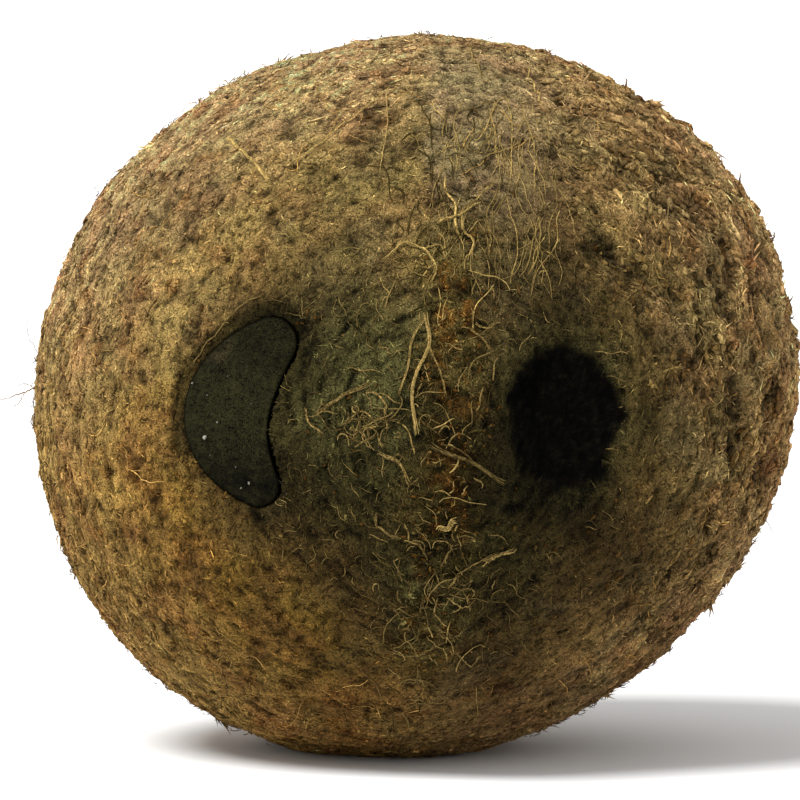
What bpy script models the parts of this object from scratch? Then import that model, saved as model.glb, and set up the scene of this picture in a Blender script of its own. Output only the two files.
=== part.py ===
"""A husked coconut lying on its side, with its eye end towards -Y.

The nut grew as one piece, so it is one closed solid: a rounded body a little longer than it is
wide, three low seams along its length, a taller rough ridge over the eye end, the two sunken
sockets beside that ridge with an eye in each, and the small flat spot that it lies on.
Run it with blender --background --python part.py. Sizes are in metres and +Z is up.
"""

from math import pi, radians, sqrt

import bmesh
import bpy
import numpy as np
from mathutils import Matrix, Vector

# ---- driving sizes -------------------------------------------------------------------------------
WIDTH = 0.115  # across the nut, along X
LENGTH = 0.121  # from the eye end to the far end, along Y
HEIGHT = 0.108  # from the flat spot to the top, along Z
FLAT_SPOT = 0.030  # width of the flat that the nut lies on, along X

TAPER = 0.05  # how much narrower the eye end is than the far end, as a share of the width
LEAN = radians(44)  # the direction its cross-section bulges in, counted from +X towards +Z
OVALNESS = 0.024  # how far it bulges there, as a share of the nut's radius
SEAM_RISE = 0.012  # height of the three seams, as a share of the nut's radius
SEAM_TURN = radians(17)  # where the first seam lies, counted from +X towards +Z

RIDGE_X = 0.0053  # the ridge between the eyes stands a little to the right of the middle
RIDGE_SWING = 0.0060  # and runs this far to the left by the time it reaches the nut's foot
RIDGE_WIDTH = 0.0160
RIDGE_HEIGHT = 0.0016

LEFT_SOCKET = (-0.0180, 0.0005)  # x and height of its middle, counted from the nut's middle
LEFT_SOCKET_SIZE = (0.034, 0.044)
LEFT_SOCKET_DEPTH = 0.0028

# The kidney-shaped plug is all that a disc covers as it slides down a curve from top to foot,
# bulging to the left and growing wider at the kidney's waist.
PLUG_TOP, PLUG_WAIST, PLUG_FOOT = (-0.0211, 0.0121), (-0.0278, 0.0013), (-0.0231, -0.0089)
PLUG_TOP_RADIUS, PLUG_WAIST_RADIUS, PLUG_FOOT_RADIUS = 0.0040, 0.0065, 0.0034
PLUG_STEPS = 40  # places along that curve where the disc is measured
PLUG_CORNER = 0.0030  # how wide the slope round its edge is
PLUG_DEPTH = 0.0006  # how far the plug lies below the shell round it

RIGHT_EYE = (0.0215, 0.0018)
RIGHT_EYE_SIZE = (0.0158, 0.0215)
RIGHT_EYE_DEPTH = 0.0034
RIGHT_SOCKET_SIZE = (0.030, 0.038)  # the shallow hollow round the right eye
RIGHT_SOCKET_DEPTH = 0.0012

SEGMENTS = 92  # facets round the nut
RINGS = 46  # facets along it
CROWDING = 0.45  # how much closer together the facets are at the eye end, 0 for evenly spaced

SHELL_BROWN = (0.17, 0.105, 0.042, 1.0)
SHELL_ROUGHNESS = 0.95

# ---- worked out from them ------------------------------------------------------------------------
# The flat spot is a slice off the underside, so the whole round nut is a little higher than HEIGHT.
slice_share = sqrt(1 - (FLAT_SPOT / WIDTH) ** 2)
round_half_height = HEIGHT / (1 + slice_share)
slice_depth = round_half_height * (1 - slice_share)
half_sizes = np.array([WIDTH / 2, LENGTH / 2, round_half_height])


def dish(x, z, middle, size, sharpness):
    """1 in the middle of an oval, 0 well outside it: exp(-d^sharpness), d = 1 on its outline."""
    across = (x - middle[0]) / (size[0] / 2)
    up = (z - middle[1]) / (size[1] / 2)
    return np.exp(-(np.hypot(across, up) ** sharpness))


def through(first, second, third, t):
    """A parabola that passes the first value at t = 0, the second at 1/2 and the third at 1."""
    return first * (1 - t) * (1 - 2 * t) + second * 4 * t * (1 - t) + third * t * (2 * t - 1)


def plug_distance(x, z):
    """Distance outside (or, below 0, inside) the kidney: the least to any place of its sliding disc."""
    nearest = np.full(np.shape(x), LENGTH)
    for t in np.linspace(0, 1, PLUG_STEPS):
        disc_x, disc_z = (through(PLUG_TOP[i], PLUG_WAIST[i], PLUG_FOOT[i], t) for i in (0, 1))
        radius = through(PLUG_TOP_RADIUS, PLUG_WAIST_RADIUS, PLUG_FOOT_RADIUS, t)
        nearest = np.minimum(nearest, np.hypot(x - disc_x, z - disc_z) - radius)
    return nearest


def crowd(directions):
    """Slides directions towards the eye end: their angle t from it becomes t - CROWDING * sin(t)."""
    angle = np.arccos(np.clip(-directions[:, 1], -1, 1))
    moved = angle - CROWDING * np.sin(angle)
    around = np.arctan2(directions[:, 2], directions[:, 0])
    return np.stack(
        [np.sin(moved) * np.cos(around), -np.cos(moved), np.sin(moved) * np.sin(around)], axis=1
    )


def body(directions):
    """The plain nut: an ellipsoid, tapered to the eye end, oval and with three seams in section."""
    around = np.arctan2(directions[:, 2], directions[:, 0])
    section = 1 + OVALNESS * np.cos(2 * (around - LEAN)) + SEAM_RISE * np.cos(3 * (around - SEAM_TURN))
    taper = 1 + TAPER * directions[:, 1]
    points = directions * half_sizes
    points[:, [0, 2]] *= (section * taper)[:, None]
    return points


def relief(points):
    """How far the eye end's ridge stands out of the body and its sockets and eyes sink into it."""
    x, z = points[:, 0], points[:, 2]
    facing = np.clip(-points[:, 1] / (LENGTH / 2), 0, 1)
    on_eye_end = facing**2 * (3 - 2 * facing)
    low_half = np.clip(-z / round_half_height, 0, 1)
    ridge_line = RIDGE_X - RIDGE_SWING * low_half
    ridge = RIDGE_HEIGHT * np.exp(-(np.abs(2 * (x - ridge_line) / RIDGE_WIDTH) ** 3))
    sockets = LEFT_SOCKET_DEPTH * dish(x, z, LEFT_SOCKET, LEFT_SOCKET_SIZE, 3)
    sockets += RIGHT_SOCKET_DEPTH * dish(x, z, RIGHT_EYE, RIGHT_SOCKET_SIZE, 3)
    sockets += RIGHT_EYE_DEPTH * dish(x, z, RIGHT_EYE, RIGHT_EYE_SIZE, 5)
    plug_edge = np.clip(0.5 - plug_distance(x, z) / PLUG_CORNER, 0, 1)
    return on_eye_end * (ridge - sockets - PLUG_DEPTH * plug_edge)


def coconut_material():
    material = bpy.data.materials.new("coconut_shell")
    material.use_nodes = True
    shader = material.node_tree.nodes["Principled BSDF"]
    shader.inputs["Base Color"].default_value = SHELL_BROWN
    shader.inputs["Roughness"].default_value = SHELL_ROUGHNESS
    shader.inputs["Metallic"].default_value = 0.0
    return material


def nut_mesh():
    """A unit sphere with its poles on Y, moved onto the nut's surface."""
    cage = bmesh.new()
    poles_on_y = Matrix.Rotation(pi / 2, 4, "X")
    bmesh.ops.create_uvsphere(
        cage, u_segments=SEGMENTS, v_segments=RINGS, radius=1.0, matrix=poles_on_y
    )
    mesh = bpy.data.meshes.new("coconut")
    cage.to_mesh(mesh)
    cage.free()

    places = np.empty(len(mesh.vertices) * 3)
    mesh.vertices.foreach_get("co", places)
    directions = crowd(places.reshape(-1, 3))
    points = body(directions)
    outward = points / half_sizes**2
    outward /= np.linalg.norm(outward, axis=1, keepdims=True)
    points += outward * relief(points)[:, None]
    # The overall sizes hold exactly, whatever the taper, the seams, the oval and the ridge do.
    low, high = points.min(axis=0), points.max(axis=0)
    points = (points - (low + high) / 2) * (2 * half_sizes / (high - low))
    points[:, 2] += round_half_height - slice_depth
    mesh.vertices.foreach_set("co", points.ravel())
    mesh.update()
    return mesh


def foot_cutter(collection):
    """A box whose top face is the plane Z = 0: it slices the flat spot off the nut's underside."""
    size = 2 * max(WIDTH, LENGTH)
    cage = bmesh.new()
    bmesh.ops.create_cube(cage, size=size, matrix=Matrix.Translation(Vector((0, 0, -size / 2))))
    mesh = bpy.data.meshes.new("foot_cutter")
    cage.to_mesh(mesh)
    cage.free()
    cutter = bpy.data.objects.new("foot_cutter", mesh)
    cutter.display_type = "WIRE"
    cutter.hide_render = True
    collection.objects.link(cutter)
    return cutter


def main():
    for thing in list(bpy.data.objects):
        bpy.data.objects.remove(thing, do_unlink=True)
    parts = bpy.data.collections.new("coconut")
    cutters = bpy.data.collections.new("cutters")
    cutters.hide_render = True
    for collection in (parts, cutters):
        bpy.context.scene.collection.children.link(collection)

    mesh = nut_mesh()
    mesh.polygons.foreach_set("use_smooth", np.ones(len(mesh.polygons), dtype=bool))
    mesh.materials.append(coconut_material())
    nut = bpy.data.objects.new("coconut", mesh)
    parts.objects.link(nut)

    slice_foot = nut.modifiers.new("flat spot", "BOOLEAN")
    slice_foot.operation = "DIFFERENCE"
    slice_foot.solver = "EXACT"
    slice_foot.object = foot_cutter(cutters)


main()
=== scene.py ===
# %% [markdown]
# # A husked coconut, seen at its eyes
#
# A coconut that has been husked still wears a coat of coir: short brown fibres, felted flat
# against the shell. This lesson builds the shell as one rough surface, sets the dark plug into
# the left eye, and then lays the coir over it as hair by hair of real geometry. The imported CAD
# part is the frame: it fixes where everything goes and how big it is.

# %% The frame and the object's sizes
from math import ceil, cos, pi, radians, sin, sqrt

import bpy
import numpy as np
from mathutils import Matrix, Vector


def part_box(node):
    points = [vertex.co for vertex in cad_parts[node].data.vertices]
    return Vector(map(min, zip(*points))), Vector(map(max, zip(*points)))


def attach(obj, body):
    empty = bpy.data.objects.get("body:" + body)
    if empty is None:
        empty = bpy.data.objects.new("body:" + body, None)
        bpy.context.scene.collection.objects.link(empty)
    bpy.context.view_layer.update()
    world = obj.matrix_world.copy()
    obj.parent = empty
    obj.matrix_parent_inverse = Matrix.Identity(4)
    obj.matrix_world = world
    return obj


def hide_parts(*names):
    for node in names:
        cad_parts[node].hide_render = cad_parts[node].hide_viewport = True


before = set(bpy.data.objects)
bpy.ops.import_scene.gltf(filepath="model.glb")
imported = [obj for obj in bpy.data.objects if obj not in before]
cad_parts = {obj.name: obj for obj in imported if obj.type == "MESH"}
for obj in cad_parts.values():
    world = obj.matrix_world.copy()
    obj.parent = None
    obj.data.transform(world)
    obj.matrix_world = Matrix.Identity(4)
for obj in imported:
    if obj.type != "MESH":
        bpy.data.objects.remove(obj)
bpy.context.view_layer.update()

nut_low, nut_high = (np.array(corner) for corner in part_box("coconut"))
WIDTH, LENGTH, HEIGHT = nut_high - nut_low
print(f"the nut is {1000 * WIDTH:.0f} x {1000 * LENGTH:.0f} x {1000 * HEIGHT:.0f} mm")

# %% [markdown]
# ## The nut's form
#
# The real shell is an egg with three low seams along it and two soft eyes sunk beside a ridge at
# its stem end. It could be sculpted by hand, but then no size could be changed later. Here it is
# a function: it takes directions from the middle of the nut and gives back points on the shell,
# by the same rules as the CAD solid. Lengths are in metres, and x and z on the eye end are
# counted from the middle of the nut.

# %% What the form is made of
FLAT_SPOT = 0.030
TAPER = 0.05
LEAN = radians(44)
OVALNESS = 0.024
SEAM_RISE = 0.012
SEAM_TURN = radians(17)
RIDGE_X = 0.0053
RIDGE_SWING = 0.0060
RIDGE_WIDTH = 0.0160
RIDGE_HEIGHT = 0.0016
LEFT_SOCKET, LEFT_SOCKET_SIZE, LEFT_SOCKET_DEPTH = (-0.0180, 0.0005), (0.034, 0.044), 0.0028
RIGHT_EYE, RIGHT_EYE_SIZE, RIGHT_EYE_DEPTH = (0.0215, 0.0018), (0.0158, 0.0215), 0.0034
RIGHT_SOCKET_SIZE, RIGHT_SOCKET_DEPTH = (0.030, 0.038), 0.0012
PLUG_TOP, PLUG_WAIST, PLUG_FOOT = (-0.0211, 0.0121), (-0.0278, 0.0013), (-0.0231, -0.0089)
PLUG_TOP_RADIUS, PLUG_WAIST_RADIUS, PLUG_FOOT_RADIUS = 0.0040, 0.0065, 0.0034
PLUG_STEPS = 40

slice_share = sqrt(1 - (FLAT_SPOT / WIDTH) ** 2)
round_half_height = HEIGHT / (1 + slice_share)
half_sizes = np.array([WIDTH / 2, LENGTH / 2, round_half_height])
middle = np.array([0, 0, HEIGHT - round_half_height])


def smooth_step(low, high, value):
    """0 below low, 1 above high, and 3t^2 - 2t^3 between them."""
    t = np.clip((value - low) / (high - low), 0, 1)
    return t * t * (3 - 2 * t)


def oval(x, z, at, size, sharpness=2):
    """exp(-d^sharpness), where d is 0 in the middle of an oval and 1 on its outline."""
    return np.exp(-(np.hypot((x - at[0]) * 2 / size[0], (z - at[1]) * 2 / size[1]) ** sharpness))


def through(first, second, third, t):
    """The parabola that is at first when t is 0, at second when t is 1/2 and at third when t is 1."""
    return first * (1 - t) * (1 - 2 * t) + second * 4 * t * (1 - t) + third * t * (2 * t - 1)


def plug_distance(x, z):
    """Metres outside the kidney (below 0 inside it): the least distance to the discs whose middles and
    radii follow parabolas from its top through its waist to its foot."""
    nearest = np.full(np.shape(x), 1.0)
    for t in np.linspace(0, 1, PLUG_STEPS):
        disc_x, disc_z = (through(PLUG_TOP[i], PLUG_WAIST[i], PLUG_FOOT[i], t) for i in (0, 1))
        radius = through(PLUG_TOP_RADIUS, PLUG_WAIST_RADIUS, PLUG_FOOT_RADIUS, t)
        nearest = np.minimum(nearest, np.hypot(x - disc_x, z - disc_z) - radius)
    return nearest


def eye_end_share(y):
    """How much a point belongs to the eye end: 0 at the nut's widest girth, 1 at its tip."""
    return smooth_step(0, 1, -y / (LENGTH / 2))


def ridge_line(z):
    """The ridge's x at height z: straight above the middle, swung to the left below it."""
    return RIDGE_X - RIDGE_SWING * np.clip(-z / round_half_height, 0, 1)


def plain_form(directions):
    """An ellipsoid, tapered by 1 + TAPER y, with cos(2 angle) and cos(3 angle) added to its section,
    then raised along its ridge and sunk at its sockets along the ellipsoid's own normal."""
    around = np.arctan2(directions[:, 2], directions[:, 0])
    section = 1 + OVALNESS * np.cos(2 * (around - LEAN)) + SEAM_RISE * np.cos(3 * (around - SEAM_TURN))
    points = directions * half_sizes
    points[:, [0, 2]] *= (section * (1 + TAPER * directions[:, 1]))[:, None]
    x, y, z = points.T
    relief = RIDGE_HEIGHT * np.exp(-(np.abs(2 * (x - ridge_line(z)) / RIDGE_WIDTH) ** 3))
    relief -= LEFT_SOCKET_DEPTH * oval(x, z, LEFT_SOCKET, LEFT_SOCKET_SIZE, 3)
    relief -= RIGHT_SOCKET_DEPTH * oval(x, z, RIGHT_EYE, RIGHT_SOCKET_SIZE, 3)
    relief -= RIGHT_EYE_DEPTH * oval(x, z, RIGHT_EYE, RIGHT_EYE_SIZE, 5)
    outward = points / half_sizes**2
    outward /= np.linalg.norm(outward, axis=1, keepdims=True)
    return points + outward * (eye_end_share(y) * relief)[:, None]


# %% [markdown]
# ## Directions, spread where the detail is
#
# A globe's grid pinches at its poles, just where this nut's face is. A cube blown up to a sphere
# has no such pinch: six square grids, joined edge to edge. Sliding every direction towards the
# eye end then packs the cells to a third of a millimetre there, where the eyes and strands are,
# and lets them widen at the far end.

# %% Six square grids on a sphere
CELLS = 126
CROWDING = 0.45

SIDES = [((1, 0, 0), (0, 0, 1)), ((0, 1, 0), (0, 0, 1)), ((-1, 0, 0), (0, 0, 1)),
         ((0, -1, 0), (0, 0, 1)), ((1, 0, 0), (0, 1, 0)), ((1, 0, 0), (0, -1, 0))]


def crowd(directions):
    """A direction's angle t from the eye end becomes t - CROWDING sin t."""
    angle = np.arccos(np.clip(-directions[:, 1], -1, 1))
    moved = angle - CROWDING * np.sin(angle)
    around = np.arctan2(directions[:, 2], directions[:, 0])
    return np.stack([np.sin(moved) * np.cos(around), -np.cos(moved), np.sin(moved) * np.sin(around)], 1)


def cube_sphere(cells):
    """Directions a + tan(pi u / 4) b + tan(pi v / 4) c for u and v from -1 to 1 on each of the cube's
    six sides, welded along its edges. Returns them, the quads and each quad corner's u, v and side."""
    steps = np.tan(pi / 4 * np.linspace(-1, 1, cells + 1))
    up, across = np.meshgrid(steps, steps, indexing="ij")
    row, column = np.meshgrid(np.arange(cells), np.arange(cells), indexing="ij")
    first = (row * (cells + 1) + column).ravel()
    square = np.stack([first, first + 1, first + cells + 2, first + cells + 1], 1)
    sheets, quads, places = [], [], []
    for side, (right, top) in enumerate(SIDES):
        out = np.cross(right, top)
        sheet = out + across[..., None] * np.array(right) + up[..., None] * np.array(top)
        sheets.append((sheet / np.linalg.norm(sheet, axis=2, keepdims=True)).reshape(-1, 3))
        quads.append(square + side * (cells + 1) ** 2)
        place = np.stack([column.ravel(), row.ravel()], 1)[:, None] + [[0, 0], [1, 0], [1, 1], [0, 1]]
        places.append((place / cells + [side % 3, side // 3]) / [3, 2])
    sheets, quads = np.concatenate(sheets), np.concatenate(quads)
    rounded = np.round(sheets * 1e5).astype(int)
    _, keep, weld = np.unique(rounded, axis=0, return_index=True, return_inverse=True)
    return crowd(sheets[keep]), weld.reshape(-1)[quads], np.concatenate(places)


directions, shell_quads, shell_places = cube_sphere(CELLS)
print(f"{len(directions)} points and {len(shell_quads)} quads on the sphere")

# %% [markdown]
# ## Random that is the same every time
#
# Felt, grain and colour all need noise. Blender's own noise runs one point at a time, so a small
# lattice of random numbers, blended between its corners, does it for whole arrays at once.

# %% Noise for whole arrays
TABLE_SIDE = 48
TURN = np.array([[0.36, 0.48, -0.8], [-0.8, 0.6, 0.0], [0.48, 0.64, 0.6]])


def noise(points, size, seed):
    """Each corner of a lattice with cells this size holds a random number from -1 to 1, and a point
    takes the mean of its cell's eight corners, each weighted by 3t^2 - 2t^3 along every side."""
    table = np.random.default_rng(seed).uniform(-1, 1, (TABLE_SIDE,) * 3)
    spots = points @ TURN / size
    cell = np.floor(spots).astype(int)
    t = spots - cell
    t = t * t * (3 - 2 * t)
    total = np.zeros(len(points))
    for corner in np.ndindex(2, 2, 2):
        weight = np.prod(np.where(corner, t, 1 - t), axis=1)
        i, j, k = ((cell + corner) % TABLE_SIDE).T
        total += weight * table[i, j, k]
    return total


def rough(points, size, seed, layers=3):
    """Noise of this size plus half as much of half the size, and so on, from about -1 to 1."""
    return sum(noise(points, size / 2**k, seed + k) / 2**k for k in range(layers))


def hollows(points):
    """1 in the little hollows of the felt, which are one or two millimetres apart, and 0 between them."""
    return smooth_step(0.12, 0.42, noise(points, 0.0011, 55))


def creases(points, size, seed):
    """1 - 3 |noise|, with half as much of half the size: crumbs with sharp creases between them. Points
    are first unrolled to the arc round the nut, drawn out 2.2 times, and the arc from the eye end."""
    x, y, z = (points - middle).T
    around = np.arctan2(z, x) * np.hypot(x, z) / 2.2
    outward = np.arctan2(np.hypot(x, z), -y) * LENGTH / 2
    unrolled = np.stack([around, outward, 0.002 * noise(points, 0.02, 99)], 1)
    return sum((1 - 3 * np.abs(noise(unrolled, size / 2**k, seed + k))) / 2**k for k in range(2))


# %% [markdown]
# ## Where the coat changes
#
# The coat isn't the same all over. Golden felt covers the left, coarse tufts the right, rusty
# pith fills the ridge, and the sockets are worn down to dark bare shell. Each of these is a
# number from 0 to 1 at every point, so the shell, the hairs and the colours all agree.

# %% The zones as numbers from 0 to 1
def zones(points):
    """A dictionary of shares, each from smooth steps and ovals of x and z, wobbled by noise."""
    x, y, z = (points - middle).T
    wobble = 0.0022 * rough(points, 0.009, 11)
    ragged = 0.0018 * rough(points, 0.0026, 15)
    front = smooth_step(-0.1, 0.35, -y / (LENGTH / 2))
    outer = 1 - front * (1 - smooth_step(0.60, 0.98, np.hypot(x / half_sizes[0], z / half_sizes[2])))
    xw, zw = x + wobble, z + wobble
    off_ridge = np.abs(x - ridge_line(z) + wobble + ragged)
    band = (front * smooth_step(0.0000, 0.0030, x + ragged) * smooth_step(0.029, 0.012, xw)
            * smooth_step(0.018, 0.036, zw))
    ridge = (front * (1 - smooth_step(0.0020, 0.0085, off_ridge)) * smooth_step(0.036, 0.022, zw)
             * smooth_step(-0.042, -0.030, zw))
    bare = np.maximum.reduce([oval(xw, zw, (-0.0075, 0.0000), (0.054, 0.053), 4),
                              oval(xw, zw, (0.0212, 0.0000), (0.034, 0.050), 4),
                              oval(xw, zw, (0.0050, -0.0180), (0.051, 0.040), 3)])
    bare *= front * smooth_step(0.050, 0.039, zw - xw) * smooth_step(0.050, 0.038, -zw - xw)
    # Painted shade below the eyes
    dusk = front * oval(xw, zw, (-0.0020, -0.0240), (0.070, 0.040)) * (1 - bare)
    matted = front * np.maximum(oval(x, z, (-0.0070, 0.0008), (0.016, 0.011), 3),
                                oval(x, z, (0.0015, -0.0270), (0.012, 0.015), 3))
    coarse = smooth_step(0.016, 0.044, x + 0.25 * z) * (1 - bare)
    golden = smooth_step(0.014, -0.026, x - 0.30 * z) * (1 - bare)
    open_eye = oval(x + 0.6 * ragged, z - 0.6 * ragged, (0.0220, 0.0010), (0.0170, 0.0226), 8)
    pit = front * smooth_step(0.12, 0.80, open_eye)
    # Darker beside the open eye: painted shade down the lower left of its pit, and a small dark spot at its
    # right
    sooty = front * np.maximum(oval(xw, zw, (0.0162, -0.0056), (0.026, 0.034), 3),
                               0.9 * oval(x, z, (0.0343, 0.0006), (0.004, 0.006)))
    fringe = front * oval(xw, zw, (0.0050, 0.0040), (0.088, 0.086), 4) * (1 - bare)
    gap = plug_distance(x, z)
    kidney = front * smooth_step(0.0000, -0.0003, gap)
    ledge = front * smooth_step(0.0024, 0.0016, gap) * smooth_step(0.026, 0.032, z - x) * (1 - kidney)
    # Painted shade in a ring round the plug, on its right side
    halo = front * smooth_step(0.0050, 0.0, gap) * smooth_step(-0.032, -0.022, x) * (1 - kidney)
    return dict(halo=halo, ridge=ridge, bare=bare, band=band, coarse=coarse, golden=golden, pit=pit,
                kidney=kidney, ledge=ledge, outer=outer, sooty=sooty, dusk=dusk, matted=matted, fringe=fringe)


face = zones(plain_form(directions) + middle)
for name, share in sorted(face.items()):
    print(f"{name}: {100 * share.mean():.0f}% of the shell's points")

# %% [markdown]
# ## Colours, as a dyer would mix them
#
# Coir runs from straw gold through rust to nearly black. Each point is mixed from a few named
# colours by the zones, and every hair later takes the colour of the spot that it grows from.

# %% The palette and how it is mixed
# Straw is the cleanest fibre; the near-black is the open eye's dark floor deepened by painted shade, and
# painted shade in the crack round the plug
STRAW = np.array([0.62, 0.41, 0.185])
GOLD = np.array([0.42, 0.245, 0.070])
BROWN = np.array([0.250, 0.132, 0.040])
RUST = np.array([0.23, 0.085, 0.020])
UMBER = np.array([0.17, 0.095, 0.042])
GREY = np.array([0.30, 0.225, 0.105])
MOSS = np.array([0.076, 0.068, 0.0220])
OLIVE = np.array([0.038, 0.031, 0.0090])
PITH = np.array([0.058, 0.041, 0.0110])
AMBER = np.array([0.150, 0.062, 0.009])
KHAKI = np.array([0.172, 0.141, 0.050])
SPECK_PALE = np.array([0.36, 0.34, 0.27])
EYE_BLACK_AND_SHADE = np.array([0.0026, 0.0021, 0.0010])
# Painted shade over the lower left, which also dulls its yellow
LOWER_LEFT_SHADE = np.array([0.74, 0.68, 0.48])  # what the lower left keeps of its colour
# Painted shade over the skin below the eyes
BELOW_EYES_SHADE = np.array([0.72, 0.69, 0.62])  # what the skin below the eyes keeps of its colour


def mixed(colours, other, share):
    """colours + share (other - colours), with the share held between 0 and 1."""
    return colours + (other - colours) * np.clip(share, 0, 1)[:, None]


# %% [markdown]
# ## Light and dark patches
#
# The eye end is lighter and darker in patches a finger wide. Noise alone would put them anywhere.
# Here most places are spots of a coarse grid, about 9 mm apart, and the strengths come from brightness
# measured there and then adjusted. Noise only frays each patch's edge.

# %% The eye end's patches
PATCH_SIZE = 0.0130
PATCHES = [  # x and height over the nut's middle in millimetres, and how much brighter the coat is there
    (-2.3, 27.3, 1.60), (19.7, 27.1, 0.68), (28.5, 18.3, 0.78), (37.7, 26.4, 0.75), (-33.2, 18.1, 1.45),
    (-19.9, 19.5, 0.70), (2.1, 18.7, 1.75), (19.6, 18.5, 0.66), (-22.0, 27.5, 1.55), (-15.4, 10.0, 0.66),
    (10.8, 5.7, 1.70), (-6.5, 6.0, 1.75), (2.1, 1.5, 0.44), (33.0, -1.5, 1.30), (29.4, -9.5, 1.40),
    (-15.4, -7.5, 0.68), (-15.5, -16.5, 0.70), (-4.0, -9.0, 1.30), (9.8, -7.6, 1.05), (20.5, -12.0, 0.52),
    (2.1, -16.3, 0.85), (10.8, -17.4, 1.50), (28.5, -19.0, 0.60), (-15.5, -25.7, 1.45), (2.1, -34.9, 1.50),
    (10.9, -35.0, 0.62), (28.8, -36.1, 1.50), (37.5, -17.6, 0.75), (-42.4, 26.0, 0.80), (-15.7, 44.0, 1.35),
    (30.5, 9.5, 1.35), (-40.0, -9.0, 1.15), (-33.0, 1.0, 1.35), (19.5, -17.0, 1.5), (11.0, 18.6, 0.66),
    (28.8, 27.2, 1.60), (-6.9, 18.5, 0.74), (-7.0, 35.5, 1.40), (9.8, -26.0, 0.75), (-6.8, -26.0, 0.80)]
print(f"{len(PATCHES)} patches")


def patchiness(points):
    """The product of gain^oval over the eye end's patches, each pushed out of round by noise."""
    x, y, z = (points - middle).T
    x, z = (axis + 0.0026 * rough(points, 0.0070, seed) for axis, seed in ((x, 93), (z, 95)))
    total = sum(np.log(gain) * oval(x, z, (at_x / 1000, at_z / 1000), (PATCH_SIZE, PATCH_SIZE))
                for at_x, at_z, gain in PATCHES)
    return np.exp(total * smooth_step(0.0, 0.2, -y / LENGTH))


# %% [markdown]
# ## The coat's colour
#
# The ground is brown. Gold and straw go over it where the felt is clean, umber and rust where it is stained,
# grey down the band, khaki round the worn skin, and olive and pith where the husk is gone. The open eye is
# near-black: dark tissue deepened by painted shade. Painted shade also darkens the plug's crack, a ring round
# the plug, the skin beside the open eye, the lower left and the skin below the eyes. Crumbs, hollows and
# speckles then make each spot lighter or darker, the creases and hollows with painted shade, and painted
# light brightens the coat by region.

# %% From zones to a colour at each point
DARKEST = 0.15  # the least that crumbs and hollows leave of a colour


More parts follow.
